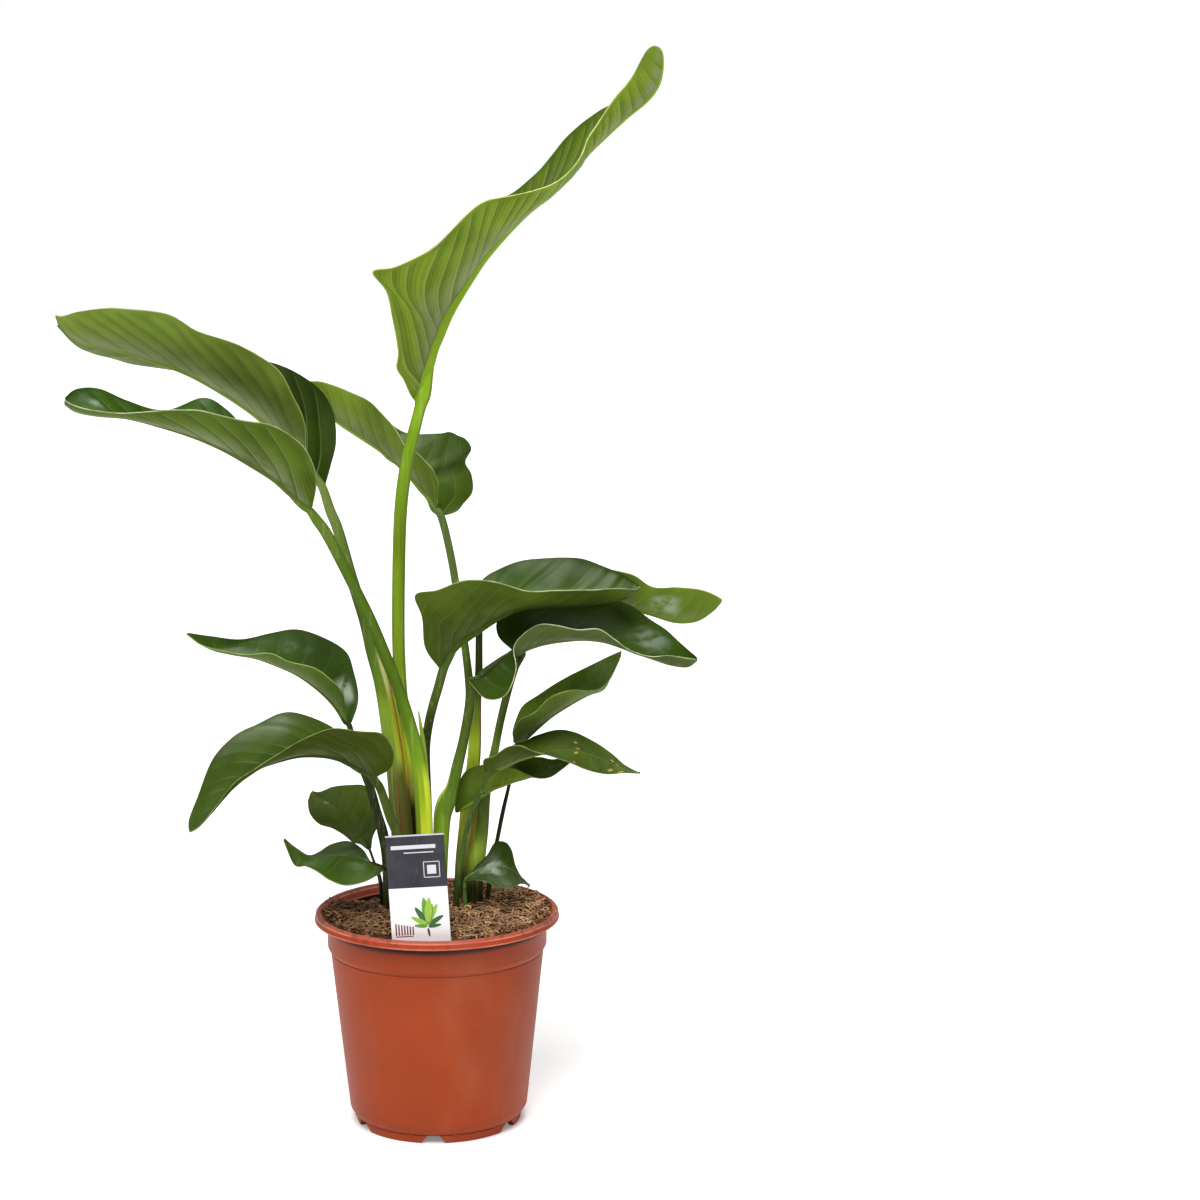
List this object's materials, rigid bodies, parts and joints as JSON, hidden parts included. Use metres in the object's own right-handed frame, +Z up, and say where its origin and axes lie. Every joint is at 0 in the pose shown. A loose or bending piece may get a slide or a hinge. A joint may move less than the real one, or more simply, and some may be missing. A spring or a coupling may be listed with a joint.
{
  "type": "potted white bird of paradise",
  "caption": "Young white bird of paradise plant with paddle-shaped leaves on long upright stalks, in a round tapered plastic nursery pot filled with soil, with a small plain label card.",
  "frame": {"origin": "on the pot's axis, at the level of the surface that the pot's foot ring stands on", "axes": "+Z up along the pot's axis and the plant's height, -Y towards the side that the label is on, +X to the right seen from there"},
  "size_m": [0.451, 0.1754, 0.7399],
  "materials": {
    "pot_plastic": "terracotta-coloured moulded polypropylene, satin",
    "potting_mix": "crumbly coir and peat potting mix, matt",
    "label_card": "printed plastic card, charcoal above and white below",
    "leaf_blade": "leathery leaf, glossy dark green above, paler and satin below",
    "leaf_stalk": "smooth fleshy leaf stalk, light green to yellow-green, satin"
  },
  "bodies": {
    "root": {"back_leaf_blade": "leaf_blade", "back_leaf_stalk": "leaf_stalk", "broad_right_leaf_blade": "leaf_blade", "broad_right_leaf_stalk": "leaf_stalk", "drooping_leaf_blade": "leaf_blade", "drooping_leaf_stalk": "leaf_stalk", "far_right_leaf_blade": "leaf_blade", "far_right_leaf_stalk": "leaf_stalk", "high_left_leaf_blade": "leaf_blade", "high_left_leaf_stalk": "leaf_stalk", "inner_right_leaf_blade": "leaf_blade", "inner_right_leaf_stalk": "leaf_stalk", "lowest_left_leaf_blade": "leaf_blade", "lowest_left_leaf_stalk": "leaf_stalk", "lowest_right_leaf_blade": "leaf_blade", "lowest_right_leaf_stalk": "leaf_stalk", "near_left_leaf_blade": "leaf_blade", "near_left_leaf_stalk": "leaf_stalk", "near_right_leaf_blade": "leaf_blade", "near_right_leaf_stalk": "leaf_stalk", "next_leaf_spear": "leaf_stalk", "plant_label": "label_card", "pointed_right_leaf_blade": "leaf_blade", "pointed_right_leaf_stalk": "leaf_stalk", "pot": "pot_plastic", "side_left_leaf_blade": "leaf_blade", "side_left_leaf_stalk": "leaf_stalk", "small_left_leaf_blade": "leaf_blade", "small_left_leaf_stalk": "leaf_stalk", "soil": "potting_mix", "tallest_leaf_blade": "leaf_blade", "tallest_leaf_stalk": "leaf_stalk", "upright_right_leaf_blade": "leaf_blade", "upright_right_leaf_stalk": "leaf_stalk"}
  },
  "joints": []
}
